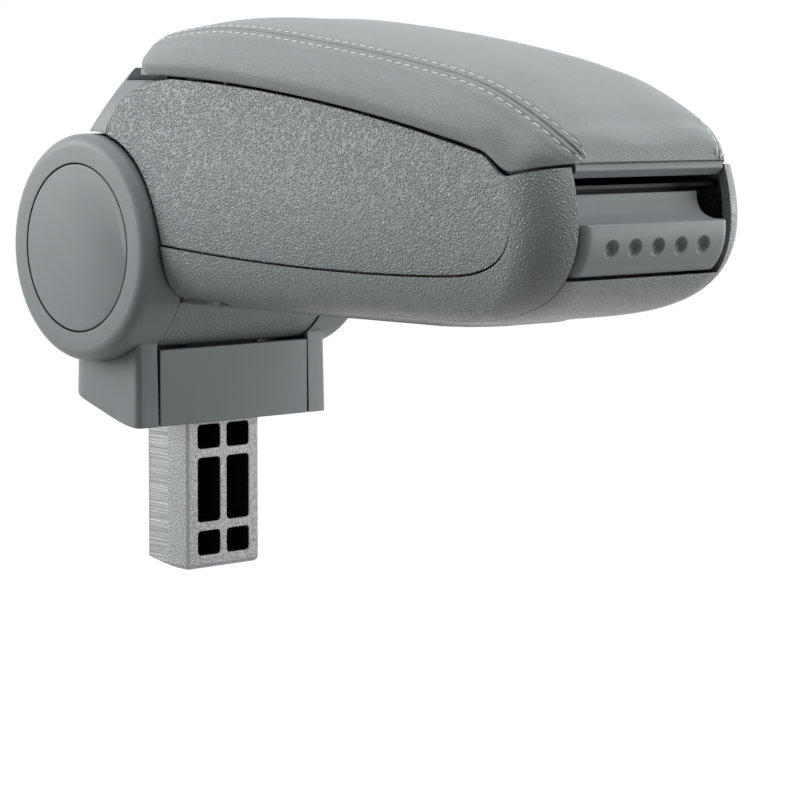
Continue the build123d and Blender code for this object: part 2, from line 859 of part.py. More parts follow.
def handle_scoop(half):
    # Room above the front land, with its rounded front edge, and above the finger scoop
    soft = handle_edge_round
    bend = soft * (1 - diagonal)
    land = handle_front - handle_land
    ridge_front = handle_back + handle_wall
    mid = ((land + ridge_front) / 2 - handle_scoop_sag, (handle_lip + handle_ridge) / 2 - handle_scoop_sag)
    front = handle_front + overrun
    top = handle_face[-1][1] + overrun
    return prism(-half, half, [
        line(-half, (front, handle_lip - soft), (handle_front, handle_lip - soft)),
        arc(-half, (handle_front, handle_lip - soft), (handle_front - bend, handle_lip - bend),
            (handle_front - soft, handle_lip)),
        line(-half, (handle_front - soft, handle_lip), (land, handle_lip)),
        arc(-half, (land, handle_lip), mid, (ridge_front, handle_ridge)),
        *chain(-half, (ridge_front, handle_ridge), (handle_back - overrun, handle_ridge),
               (handle_back - overrun, top), (front, top), (front, handle_lip - soft)),
    ])


def build_release_handle():
    half = handle_half_width
    face = handle_front_points(0.0)
    foot, top = face[0], face[-1]
    handle = prism(-half, half, [
        curve(-half, face),
        *chain(-half, top, (handle_back, top[1]), (handle_back, foot[1]), foot),
    ])
    sides = [e for e in handle.edges() if e.geom_type == GeomType.BSPLINE]
    handle = fillet(sides, handle_side_round) - handle_scoop(half + overrun)
    for side in (-1, 1):
        x0, x1 = sorted((side * handle_ridge_half_width, side * (half + overrun)))
        shoulder = block(x0, x1, handle_back - overrun, handle_front + overrun,
                         handle_lip, handle_ridge + overrun)
        inner = shoulder.edges().filter_by(Axis.Y).sort_by(Axis.Z)[:2]
        inner = sorted(inner, key=lambda e: abs(e.center().X))[0]
        handle -= fillet(inner, handle_end_round)
    inner = half - handle_end_wall
    wall = handle_wall
    roof = handle_lip - wall
    back_face = [place for place in handle_front_points(wall) if place[1] < roof]
    handle -= polygon_prism(
        -inner, inner,
        (back_face[0][0], handle_bottom - overrun),
        *back_face,
        (handle_front - wall, roof),
        (handle_back + 2 * wall, roof),
        (handle_back + wall, roof - wall),
        (handle_back - overrun, roof - wall),
        (handle_back - overrun, handle_bottom - overrun),
    )
    clear = handle_front_points(wall)[0][0]
    handle -= block(-half - overrun, half + overrun, handle_back - overrun, clear,
                    handle_bottom - overrun, handle_pivot_rise)
    for side in (-1, 1):
        x0, x1 = sorted((side * inner, side * half))
        handle += disc(handle_boss_radius, x0, x1, handle_pivot_reach, handle_pivot_rise)
    handle -= disc(handle_pin_radius + running_gap, -half - overrun, half + overrun,
                   handle_pivot_reach, handle_pivot_rise)
    ball = (dimple_radius ** 2 + dimple_depth ** 2) / (2 * dimple_depth)
    face = next(handle_front - setback for setback, rise in handle_face if rise == dimple_rise)
    for index in range(dimple_count):
        x = (index - (dimple_count - 1) / 2) * dimple_pitch
        handle -= Pos(*at(x, face + ball - dimple_depth, dimple_rise)) * Sphere(ball)
    return handle


def build_handle_spring():
    # Torsion coil round the pin, one leg to the tub's wall and one to the handle's front
    coil = Helix(coil_pitch, coil_pitch * coil_turns, coil_radius)
    near = Plane(origin=coil @ 0, z_dir=coil % 0) * Circle(coil_wire)
    far = Plane(origin=coil @ 1, z_dir=coil % 1) * Circle(coil_wire)
    leg = handle_pivot_reach - tub_front - seat_gap
    toe = handle_front - handle_face[1][0] - handle_wall - seat_gap - handle_pivot_reach
    spring = sweep(near, path=coil) + extrude(near, amount=-leg) + extrude(far, amount=toe)
    middle = at(coil_place, handle_pivot_reach, handle_pivot_rise)
    return Plane(origin=middle, x_dir=(0, 0, 1), z_dir=(1, 0, 0)) * spring


stand_left = build_stand_left()
hub_cap_left = build_hub_cap_left()
cheek_left = build_cheek_left()
inlay_left = build_inlay_left()

pieces = {
    "stand_left": stand_left,
    "stand_right": mirrored(stand_left),
    "neck_front_panel": build_neck_front_panel(),
    "pivot_shroud": build_pivot_shroud(),
    "hub_cap_left": hub_cap_left,
    "hub_cap_right": mirrored(hub_cap_left),
    "mounting_post": build_mounting_post(),
    "pivot_axle": build_pivot_axle(),
    "axle_nut": build_axle_nut(),
    "axle_washers": build_axle_washers(),
    "friction_washers": build_friction_washers(),
    "stand_screws": build_stand_screws(),
    "arm_tray": build_arm_tray(),
    "cheek_left": cheek_left,
    "cheek_right": mirrored(cheek_left),
    "inlay_left": inlay_left,
    "inlay_right": mirrored(inlay_left),
    "rear_cover": build_rear_cover(),
    "storage_tub": build_storage_tub(),
    "pivot_bushes": build_pivot_bushes(),
    "tub_screws": build_tub_screws(),
    "handle_pin": build_handle_pin(),
    "lid_hinge_pin": build_lid_hinge_pin(),
    "lid_buffers": build_lid_buffers(),
    "lid_base": build_lid_base(),
    "lid_pad": build_lid_pad(),
    "pad_screws": build_pad_screws(),
    "release_handle": build_release_handle(),
    "handle_spring": build_handle_spring(),
}

os.makedirs("parts", exist_ok=True)
for name, piece in pieces.items():
    export_step(piece, f"parts/{name}.step")
    print(name, len(piece.solids()), round(piece.volume))
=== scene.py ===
import json
import math
import bmesh
import bpy
import numpy as np
from mathutils import Matrix, Vector


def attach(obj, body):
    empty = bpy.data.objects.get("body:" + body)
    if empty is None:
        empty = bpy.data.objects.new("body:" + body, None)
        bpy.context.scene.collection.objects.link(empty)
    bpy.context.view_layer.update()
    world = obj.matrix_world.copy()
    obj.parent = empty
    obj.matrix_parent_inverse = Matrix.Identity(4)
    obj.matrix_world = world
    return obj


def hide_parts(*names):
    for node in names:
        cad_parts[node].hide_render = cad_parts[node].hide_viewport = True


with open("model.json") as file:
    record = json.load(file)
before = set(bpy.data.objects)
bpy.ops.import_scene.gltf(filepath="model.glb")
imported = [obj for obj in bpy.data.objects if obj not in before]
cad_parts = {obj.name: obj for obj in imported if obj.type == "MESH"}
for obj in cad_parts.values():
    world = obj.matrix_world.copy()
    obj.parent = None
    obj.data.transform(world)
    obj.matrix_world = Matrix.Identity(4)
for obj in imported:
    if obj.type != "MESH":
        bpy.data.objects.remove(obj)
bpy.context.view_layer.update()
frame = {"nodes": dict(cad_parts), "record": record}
scene = bpy.context.scene
mm = 0.001
print("frame loaded:", len(frame["nodes"]), "nodes")


def addNode(tree, kind, inputs=None, **attributes):
    node = tree.nodes.new(kind)
    for name, value in attributes.items():
        setattr(node, name, value)
    for name, value in (inputs or {}).items():
        if isinstance(value, bpy.types.NodeSocket):
            tree.links.new(value, node.inputs[name])
        else:
            node.inputs[name].default_value = value
    return node


def addMath(tree, operation, first, second=0.0):
    return addNode(tree, "ShaderNodeMath", {0: first, 1: second}, operation=operation).outputs[0]


def newGroup(name, kind, inputs, outputs):
    tree = bpy.data.node_groups.new(name, kind)
    for label, socketType, value in inputs:
        socket = tree.interface.new_socket(label, in_out="INPUT", socket_type=socketType)
        if value is not None:
            socket.default_value = value
    for label, socketType in outputs:
        tree.interface.new_socket(label, in_out="OUTPUT", socket_type=socketType)
    return tree, tree.nodes.new("NodeGroupInput"), tree.nodes.new("NodeGroupOutput")


hideShape = dict(bendScale=0.6, bendDetail=2.0, bendReach=1.1, smallScale=1.7, smallDetail=3.0,
                 liftScale=0.35, liftDetail=2.0, liftLeast=0.8)


def makeHideGrain():
    # pebbles of uneven height with rounded tops between creases, under a finer skin
    tree, source, sink = newGroup("hideGrain", "ShaderNodeTree", [
        ("Vector", "NodeSocketVector", None),
        ("Pebbles", "NodeSocketFloat", 600.0),
        ("Crease", "NodeSocketFloat", 0.3),
        ("Fine", "NodeSocketFloat", 0.3),
    ], [("Height", "NodeSocketFloat"), ("Valley", "NodeSocketFloat")])
    place, pebbles = source.outputs["Vector"], source.outputs["Pebbles"]

    def noise(kind):
        scale = addMath(tree, "MULTIPLY", pebbles, hideShape[kind + "Scale"])
        return addNode(tree, "ShaderNodeTexNoise", {"Vector": place, "Scale": scale,
                                                    "Detail": hideShape[kind + "Detail"]})

    push = addNode(tree, "ShaderNodeVectorMath", {0: noise("bend").outputs["Color"], 1: (0.5, 0.5, 0.5)},
                   operation="SUBTRACT")
    reach = addMath(tree, "DIVIDE", hideShape["bendReach"], pebbles)
    shift = addNode(tree, "ShaderNodeVectorMath", {0: push.outputs[0], "Scale": reach}, operation="SCALE")
    warped = addNode(tree, "ShaderNodeVectorMath", {0: place, 1: shift.outputs[0]}, operation="ADD")
    cells = addNode(tree, "ShaderNodeTexVoronoi", {"Vector": warped.outputs[0], "Scale": pebbles},
                    feature="DISTANCE_TO_EDGE")
    top = addNode(tree, "ShaderNodeMapRange", {"Value": cells.outputs["Distance"], "From Min": 0.0,
                                               "From Max": source.outputs["Crease"]},
                  interpolation_type="SMOOTHSTEP").outputs[0]
    fine = addMath(tree, "MULTIPLY", noise("small").outputs["Fac"], source.outputs["Fine"])
    uneven = addMath(tree, "ADD", noise("lift").outputs["Fac"], hideShape["liftLeast"])
    height = addMath(tree, "MULTIPLY", top, uneven)
    tree.links.new(addMath(tree, "ADD", height, fine), sink.inputs["Height"])
    tree.links.new(addMath(tree, "SUBTRACT", 1.0, top), sink.inputs["Valley"])
    return tree


noiseDetail = dict(drift=4.0, fold=2.0, skin=2.0)


def makeDrift():
    # slow changes of shade and gloss over a moulding
    tree, source, sink = newGroup("shadeDrift", "ShaderNodeTree", [
        ("Vector", "NodeSocketVector", None),
        ("Color", "NodeSocketColor", (0.3, 0.3, 0.3, 1.0)),
        ("Patches", "NodeSocketFloat", 30.0),
        ("Shade", "NodeSocketFloat", 0.06),
        ("Gloss", "NodeSocketFloat", 0.06),
        ("Roughness", "NodeSocketFloat", 0.5),
    ], [("Color", "NodeSocketColor"), ("Roughness", "NodeSocketFloat")])
    cloud = addNode(tree, "ShaderNodeTexNoise", {"Vector": source.outputs["Vector"],
                                                 "Scale": source.outputs["Patches"],
                                                 "Detail": noiseDetail["drift"]})
    swing = addMath(tree, "SUBTRACT", cloud.outputs["Fac"], 0.5)
    level = addMath(tree, "ADD", addMath(tree, "MULTIPLY", swing, source.outputs["Shade"]), 1.0)
    tint = addNode(tree, "ShaderNodeVectorMath", {0: source.outputs["Color"], "Scale": level},
                   operation="SCALE")
    tree.links.new(tint.outputs[0], sink.inputs["Color"])
    gloss = addMath(tree, "MULTIPLY", swing, source.outputs["Gloss"])
    tree.links.new(addMath(tree, "ADD", gloss, source.outputs["Roughness"]), sink.inputs["Roughness"])
    return tree


gapTone = dict(shut=0.30, clear=0.90, darkest=0.05)


def makeGapShade():
    # painted shade: crevices and the gaps between pieces go dark, by ambient occlusion in the base colour
    tree, source, sink = newGroup("gapShade", "ShaderNodeTree", [
        ("Color", "NodeSocketColor", (0.3, 0.3, 0.3, 1.0)),
        ("Openness", "NodeSocketFloat", 1.0),
    ], [("Color", "NodeSocketColor")])
    level = addNode(tree, "ShaderNodeMapRange", {
        "Value": source.outputs["Openness"], "From Min": gapTone["shut"], "From Max": gapTone["clear"],
        "To Min": gapTone["darkest"], "To Max": 1.0,
    }, interpolation_type="SMOOTHSTEP").outputs[0]
    tint = addNode(tree, "ShaderNodeVectorMath", {0: source.outputs["Color"], "Scale": level},
                   operation="SCALE")
    tree.links.new(tint.outputs[0], sink.inputs["Color"])
    return tree


def makePatch():
    # painted light and shade: another colour inside a box, the same on both sides of the middle
    tree, source, sink = newGroup("paintedLightPatch", "ShaderNodeTree", [
        ("Vector", "NodeSocketVector", None),
        ("Color", "NodeSocketColor", (0.3, 0.3, 0.3, 1.0)),
        ("Tint", "NodeSocketColor", (0.1, 0.1, 0.1, 1.0)),
        ("Low", "NodeSocketVector", None),
        ("High", "NodeSocketVector", None),
    ], [("Color", "NodeSocketColor")])
    place, low, high = (addNode(tree, "ShaderNodeSeparateXYZ", {0: source.outputs[label]}).outputs
                        for label in ("Vector", "Low", "High"))
    mask = 1.0
    for axis in "XYZ":
        value = addMath(tree, "ABSOLUTE", place[axis]) if axis == "X" else place[axis]
        mask = addMath(tree, "MULTIPLY", addMath(tree, "GREATER_THAN", value, low[axis]), mask)
        mask = addMath(tree, "MULTIPLY", addMath(tree, "LESS_THAN", value, high[axis]), mask)
    mix = addNode(tree, "ShaderNodeMix", {
        "Factor": mask, "A": source.outputs["Color"], "B": source.outputs["Tint"],
    }, data_type="RGBA")
    tree.links.new(mix.outputs["Result"], sink.inputs["Color"])
    return tree


hideGrain = makeHideGrain()
shadeDrift = makeDrift()
gapShade = makeGapShade()
paintedLightPatch = makePatch()
rayCounts = dict(edge=4, gap=6)


def startMaterial(name, **sockets):
    material = bpy.data.materials.new(name)
    material.use_nodes = True
    tree = material.node_tree
    shader = tree.nodes["Principled BSDF"]
    for label, value in sockets.items():
        shader.inputs[label.replace("_", " ")].default_value = value
    place = addNode(tree, "ShaderNodeTexCoord").outputs["Object"]
    return material, tree, shader, place


def useDrift(tree, shader, place, look):
    drift = addNode(tree, "ShaderNodeGroup", {
        "Vector": place, "Color": (*look["color"], 1.0), "Patches": look["patches"], "Shade": look["shade"],
        "Gloss": look["gloss"], "Roughness": look["roughness"],
    }, node_tree=shadeDrift)
    tree.links.new(drift.outputs["Roughness"], shader.inputs["Roughness"])
    return drift.outputs["Color"]


def usePatches(tree, color, place, look):
    for patch in look.get("paintedPatches", ()):
        color = addNode(tree, "ShaderNodeGroup", {
            "Vector": place, "Color": color, "Tint": (*patch["tint"], 1.0),
            "Low": patch["low"], "High": patch["high"],
        }, node_tree=paintedLightPatch).outputs["Color"]
    return color


def useGapShade(tree, color, look):
    # painted shade: ambient occlusion darkens the colour in gaps and crevices
    near = addNode(tree, "ShaderNodeAmbientOcclusion", {"Distance": look["gap"]}, samples=rayCounts["gap"])
    return addNode(tree, "ShaderNodeGroup", {"Color": color, "Openness": near.outputs["AO"]},
                   node_tree=gapShade).outputs["Color"]


def softEdges(tree, look):
    # moulded edges are a little round
    bevel = addNode(tree, "ShaderNodeBevel", {"Radius": look["edge"]}, samples=rayCounts["edge"])
    return bevel.outputs["Normal"]


def foldHeight(tree, place, fold):
    # sewn-in gathers, strong where the piece's own attribute says
    amount = addNode(tree, "ShaderNodeAttribute", attribute_name=fold["attribute"]).outputs["Fac"]
    stretch = addNode(tree, "ShaderNodeMapping", {"Vector": place, "Scale": fold["scale"]})
    noise = addNode(tree, "ShaderNodeTexNoise", {"Vector": stretch.outputs[0], "Scale": 1.0,
                                                 "Detail": noiseDetail["fold"]})
    return addMath(tree, "MULTIPLY", addMath(tree, "MULTIPLY", noise.outputs["Fac"], amount), fold["height"])


def dimpleHeight(tree, place, row):
    # soft round rims about a row of finger dimples
    axes = addNode(tree, "ShaderNodeSeparateXYZ", {0: place})
    step = addMath(tree, "ROUND", addMath(tree, "DIVIDE", axes.outputs["X"], row["pitch"]))
    step = addMath(tree, "MAXIMUM", addMath(tree, "MINIMUM", step, row["each"]), -row["each"])
    across = addMath(tree, "SUBTRACT", axes.outputs["X"], addMath(tree, "MULTIPLY", step, row["pitch"]))
    along = addMath(tree, "SUBTRACT", axes.outputs["Z"], row["rise"])
    far = addNode(tree, "ShaderNodeCombineXYZ", {"X": across, "Y": along})
    far = addNode(tree, "ShaderNodeVectorMath", {0: far.outputs[0]}, operation="LENGTH").outputs["Value"]
    rim = addNode(tree, "ShaderNodeMapRange", {
        "Value": far, "From Min": row["inner"], "From Max": row["outer"],
    }, interpolation_type="SMOOTHSTEP")
    return rim.outputs[0]


# painted shade: the colour that the grain's creases are darkened towards
valleyShadeTint = (0.35, 0.35, 0.36, 1.0)
plasticIor = 1.5


def grainedMaterial(name, look):
    material, tree, shader, place = startMaterial(name, Specular_IOR_Level=look["specular"], IOR=plasticIor)
    color = useDrift(tree, shader, place, look)
    grain = addNode(tree, "ShaderNodeGroup", {
        "Vector": place, "Pebbles": look["pebbles"], "Crease": look["crease"], "Fine": look["fine"],
    }, node_tree=hideGrain)
    # painted shade: the grain's creases darken the base colour
    creaseShade = addMath(tree, "MULTIPLY", grain.outputs["Valley"], look["creaseShade"])
    dark = addNode(tree, "ShaderNodeMix", {"Factor": creaseShade, "A": color, "B": valleyShadeTint},
                   data_type="RGBA", blend_type="MULTIPLY")
    tree.links.new(useGapShade(tree, dark.outputs["Result"], look), shader.inputs["Base Color"])
    height = grain.outputs["Height"]
    for fold in look.get("folds", ()):
        height = addMath(tree, "ADD", height, foldHeight(tree, place, fold))
    bump = addNode(tree, "ShaderNodeBump", {"Height": height, "Strength": look["strength"],
                                            "Distance": look["depth"], "Normal": softEdges(tree, look)})
    tree.links.new(bump.outputs["Normal"], shader.inputs["Normal"])
    return material


def satinMaterial(name, look):
    # spark-eroded mould skin: very fine even texture
    material, tree, shader, place = startMaterial(name, Specular_IOR_Level=look["specular"], IOR=plasticIor)
    color = usePatches(tree, useDrift(tree, shader, place, look), place, look)
    tree.links.new(useGapShade(tree, color, look), shader.inputs["Base Color"])
    normal = softEdges(tree, look)
    if "dimples" in look:
        rims = addNode(tree, "ShaderNodeBump", {
            "Height": dimpleHeight(tree, place, look["dimples"]), "Strength": 1.0,
            "Distance": look["dimples"]["depth"], "Normal": normal,
        })
        normal = rims.outputs["Normal"]
    skin = addNode(tree, "ShaderNodeTexNoise", {"Vector": place, "Scale": look["skin"],
                                                "Detail": noiseDetail["skin"]})
    bump = addNode(tree, "ShaderNodeBump", {"Height": skin.outputs["Fac"], "Strength": look["strength"],
                                            "Distance": look["depth"], "Normal": normal})
    tree.links.new(bump.outputs["Normal"], shader.inputs["Normal"])
    return material


castSkin = dict(sawSpread=12.0, sawDetail=5.0, sawRoughness=0.7, speckDetail=4.0,
                low=0.3, high=0.7, brightest=1.15)


def castMaterial(name, look):
    # speckled as-cast skin, with saw lines on the two cut sides
    material, tree, shader, place = startMaterial(name, Metallic=1.0)
    color = useDrift(tree, shader, place, look)
    axes = addNode(tree, "ShaderNodeSeparateXYZ", {0: place})
    side = addMath(tree, "GREATER_THAN", addMath(tree, "ABSOLUTE", axes.outputs["X"]), look["sawnFrom"])
    behind = addMath(tree, "GREATER_THAN", axes.outputs["Y"], look["sawnBehind"])
    side = addMath(tree, "MULTIPLY", side, behind)
    stretch = addNode(tree, "ShaderNodeMapping", {
        "Vector": place, "Scale": (castSkin["sawSpread"], castSkin["sawSpread"], look["sawLines"]),
    })
    saw = addNode(tree, "ShaderNodeTexNoise", {
        "Vector": stretch.outputs[0], "Scale": 1.0,
        "Detail": castSkin["sawDetail"], "Roughness": castSkin["sawRoughness"],
    })
    speck = addNode(tree, "ShaderNodeTexNoise", {
        "Vector": place, "Scale": look["specks"], "Detail": castSkin["speckDetail"],
    })
    height = addNode(tree, "ShaderNodeMix", {
        "Factor": side, "A": speck.outputs["Fac"], "B": saw.outputs["Fac"],
    }, data_type="FLOAT").outputs["Result"]
    spots = addNode(tree, "ShaderNodeMapRange", {
        "Value": height, "From Min": castSkin["low"], "From Max": castSkin["high"],
        "To Min": look["pits"], "To Max": castSkin["brightest"],
    }).outputs[0]
    tint = addNode(tree, "ShaderNodeVectorMath", {0: color, "Scale": spots}, operation="SCALE")
    tree.links.new(usePatches(tree, tint.outputs[0], place, look), shader.inputs["Base Color"])
    bump = addNode(tree, "ShaderNodeBump", {"Height": height, "Strength": look["strength"],
                                            "Distance": look["depth"], "Normal": softEdges(tree, look)})
    tree.links.new(bump.outputs["Normal"], shader.inputs["Normal"])
    return material


leatheretteLook = dict(
    color=(0.345, 0.370, 0.380), patches=14.0, shade=0.05, gloss=0.06, roughness=0.45, specular=0.26,
    edge=0.0002, gap=0.0035, pebbles=1000.0, crease=0.34, fine=0.35, creaseShade=0.14, strength=0.45, depth=0.00025,
    folds=(dict(attribute="gather", scale=(35.0, 280.0, 35.0), height=1.6),
           dict(attribute="hem", scale=(330.0, 60.0, 60.0), height=1.2)),
)
grainedLook = dict(
    color=(0.310, 0.335, 0.346), patches=22.0, shade=0.05, gloss=0.06, roughness=0.35, specular=0.38,
    edge=0.0006, gap=0.0025, pebbles=680.0, crease=0.60, fine=0.12, creaseShade=0.22, strength=0.85, depth=0.00042,
)
satinLook = dict(
    color=(0.270, 0.292, 0.302), patches=18.0, shade=0.04, gloss=0.05, roughness=0.40, specular=0.25,
    edge=0.0008, gap=0.003, skin=2600.0, strength=0.12, depth=0.0001,
)
handleLook = dict(
    satinLook, gap=0.0012,
    dimples=dict(pitch=0.0139, each=2.0, rise=0.0935, inner=0.0, outer=0.0039, depth=0.0022),
)
tubLook = dict(
    # near black: the tub's own dark plastic, and painted shade on its front wall down in the slot
    color=(0.010, 0.010, 0.011), patches=18.0, shade=0.1, gloss=0.08, roughness=0.55, specular=0.10,
    edge=0.0003, gap=0.003, skin=1800.0, strength=0.2, depth=0.0001,
    paintedPatches=(  # painted highlight: the top of the front rim is drawn light grey where light catches it
        dict(low=(-1.0, -0.300, 0.1174), high=(1.0, -0.2815, 0.125), tint=(0.20, 0.21, 0.215)),
    ),
)
castLook = dict(
    color=(0.30, 0.31, 0.315), patches=60.0, shade=0.25, gloss=0.2, roughness=0.50, edge=0.0008,
    sawnFrom=0.0219, sawnBehind=-0.007, sawLines=900.0, specks=1300.0, pits=0.45, strength=0.7, depth=0.0004,
    paintedPatches=(  # painted shade: the upper end inside the stand goes near black, then the pockets between the ribs go dark
        dict(low=(-1.0, -1.0, 0.022), high=(1.0, 1.0, 0.5), tint=(0.012, 0.012, 0.013)),
        dict(low=(-1.0, -0.0211, -0.0692), high=(0.0205, 0.0105, 0.001), tint=(0.030, 0.031, 0.032)),
    ),
)
zincLook = dict(
    color=(0.50, 0.505, 0.51), patches=200.0, shade=0.1, gloss=0.1, roughness=0.32, edge=0.0002,
    sawnFrom=1.0, sawnBehind=1.0, sawLines=1.0, specks=3000.0, pits=0.8, strength=0.15, depth=0.0001,
)
# painted shade: the pad screws are near black so that the gap by the pad, where they show, stays dark
screwShadeLook = dict(zincLook, color=(0.045, 0.046, 0.048))
nylonLook = dict(
    color=(0.72, 0.70, 0.64), patches=30.0, shade=0.04, gloss=0.05, roughness=0.5, specular=0.4,
    edge=0.0003, gap=0.002, skin=1500.0, strength=0.15, depth=0.0001,
)
rubberLook = dict(
    color=(0.025, 0.025, 0.026), patches=40.0, shade=0.1, gloss=0.1, roughness=0.75, specular=0.3,
    edge=0.0003, gap=0.002, skin=2200.0, strength=0.3, depth=0.0001,
)
threadLook = dict(
    color=(0.84, 0.85, 0.85), patches=300.0, shade=0.12, gloss=0.1, roughness=0.6, specular=0.3,
    edge=0.0001, gap=0.0004, skin=4500.0, strength=0.5, depth=0.0002,
)

materials = {
    "leatherette": grainedMaterial("padLeatherette", leatheretteLook),
    "grained_plastic": grainedMaterial("grainedShell", grainedLook),
    "satin_plastic": satinMaterial("satinShell", satinLook),
    "black_plastic": satinMaterial("tubBlackAndShade", tubLook),
    "cast_aluminium": castMaterial("castPost", castLook),
    "steel": castMaterial("zincSteel", zincLook),
    "nylon": satinMaterial("bushNylon", nylonLook),
    "rubber": satinMaterial("bufferRubber", rubberLook),
}
nodeMaterials = {  # nodes that differ from the rest of their slot
    "release_handle": satinMaterial("handleSatin", handleLook),
    # painted shade on the pad screws
    "pad_screws": castMaterial("screwShade", screwShadeLook),
}
thread = satinMaterial("paleThread", threadLook)
print("materials ready:", len(bpy.data.materials))

nodeFinish = dict(weld=1e-6, creaseAngle=28.0)


def finishNode(name, material):
    piece = frame["nodes"][name]
    piece.data.materials.clear()
    piece.data.materials.append(material)
    piece.data.polygons.foreach_set("use_smooth", [True] * len(piece.data.polygons))
    weld = piece.modifiers.new("joined", "WELD")
    weld.merge_threshold = nodeFinish["weld"]
    crease = piece.modifiers.new("creases", "EDGE_SPLIT")
    crease.split_angle = math.radians(nodeFinish["creaseAngle"])


for part in frame["record"]["subparts"]:
    finishNode(part["node"], nodeMaterials.get(part["node"], materials[part["material_slot"]]))
print("CAD nodes dressed")

armLine = dict(pivot=84.0, crest=80.6, drop=32.6, run=262.0, gap=1.0,
               sill=39.3, sillReach=278.5, sillSlope=0.19)
lidPad = dict(
    sections=(  # reach, half width at the skirt, seam half width, seam rise, crown rise
        (22.0, 44.0, 36.0, 89.5, 92.0), (30.3, 55.0, 44.5, 95.5, 98.5), (45.0, 61.5, 48.0, 99.5, 103.8),
        (85.0, 63.0, 49.0, 101.7, 107.5), (129.8, 63.5, 49.2, 97.6, 105.2), (179.9, 63.5, 49.2, 90.6, 99.2),
        (225.0, 63.0, 48.7, 82.6, 91.2), (257.9, 62.0, 48.2, 73.8, 81.4), (280.0, 58.5, 47.5, 63.2, 70.0),
        (291.9, 53.0, 46.0, 55.6, 60.8), (298.5, 46.0, 43.0, 49.5, 52.5),
    ),
    rows=72, endRows=2, ease=0.11, curveSteps=500, sideSteps=9, topSteps=11,
    underhang=14.0, turn=1.5, shoulder=0.42, edgeLift=0.3,
    rollHeight=7.0, rollFrom=(250.0, 274.0), rollDepth=(3.4, 0.7),
    plateEdge=58.8, plateTop=4.9, plateShares=(0.0, 0.35, 0.7, 0.95), plateRound=1.2,
    wall=2.5, wallLean=0.4, wallFoot=0.6, edgeSag=0.15,
    seamSteps=(-6.5, -5.0, -3.9, -3.0, -2.2, -1.3, -0.6, 0.0, 0.6, 1.3, 2.2, 3.0, 3.9, 5.0, 6.5),
    seamShape=(0.0, 0.12, 0.05, -0.42, 0.05, 0.30, 0.0, -0.75, 0.0, 0.30, 0.05, -0.42, 0.05, 0.12, 0.0),
    seamRoom=8.5, gatherRun=8.0, hemFrom=290.0, hemRun=6.0,
    frontRoll=((0.55, 0.7), (0.9, 1.7), (1.05, 3.0), (1.05, 3.7)),  # forward, down
    frontBead=((1.3, 296.8, 2.4), (-0.8, 290.5, 2.6)), beadEnd=6.0,  # height, reach, run
    shrink=0.7, pressure=4.0, stiffness=40.0, bending=2.0, frames=20, cap=1.6, taper=28.0, smoothing=2,
)
underCount = len(lidPad["plateShares"]) + 3  # points below the edge: the plate's, then three down the wall


def partingRise(reach):
    run, sillReach = armLine["run"], armLine["sillReach"]
    if reach <= run:
        return armLine["crest"] - armLine["drop"] * (reach / run) ** 2
    if reach >= sillReach:
        return armLine["sill"] + armLine["sillSlope"] * (reach - sillReach)
    span = sillReach - run
    t = (reach - run) / span
    top, fall = armLine["crest"] - armLine["drop"], -2 * armLine["drop"] / run
    return (1 + 2 * t) * (1 - t) ** 2 * top + t * (1 - t) ** 2 * span * fall \
        + t * t * (3 - 2 * t) * armLine["sill"] + t * t * (t - 1) * span * armLine["sillSlope"]


def naturalSpline(knots, values, places):
    # second derivatives of a natural cubic spline, then its values at the places
    knots, values, places = np.asarray(knots, float), np.asarray(values, float), np.asarray(places, float)
    count = len(knots)
    gaps = np.diff(knots)
    system = np.eye(count)
    right = np.zeros((count, *values.shape[1:]))
    for i in range(1, count - 1):
        system[i, i - 1:i + 2] = gaps[i - 1], 2 * (gaps[i - 1] + gaps[i]), gaps[i]
        right[i] = 6 * ((values[i + 1] - values[i]) / gaps[i] - (values[i] - values[i - 1]) / gaps[i - 1])
    bends = np.linalg.solve(system, right)
    cell = np.clip(np.searchsorted(knots, places, side="right") - 1, 0, count - 2)
    low, high, gap = places - knots[cell], knots[cell + 1] - places, gaps[cell]
    if values.ndim > 1:
        low, high, gap = low[:, None], high[:, None], gap[:, None]
    return (bends[cell] * high ** 3 + bends[cell + 1] * low ** 3) / (6 * gap) \
        + (values[cell] / gap - bends[cell] * gap / 6) * high \
        + (values[cell + 1] / gap - bends[cell + 1] * gap / 6) * low


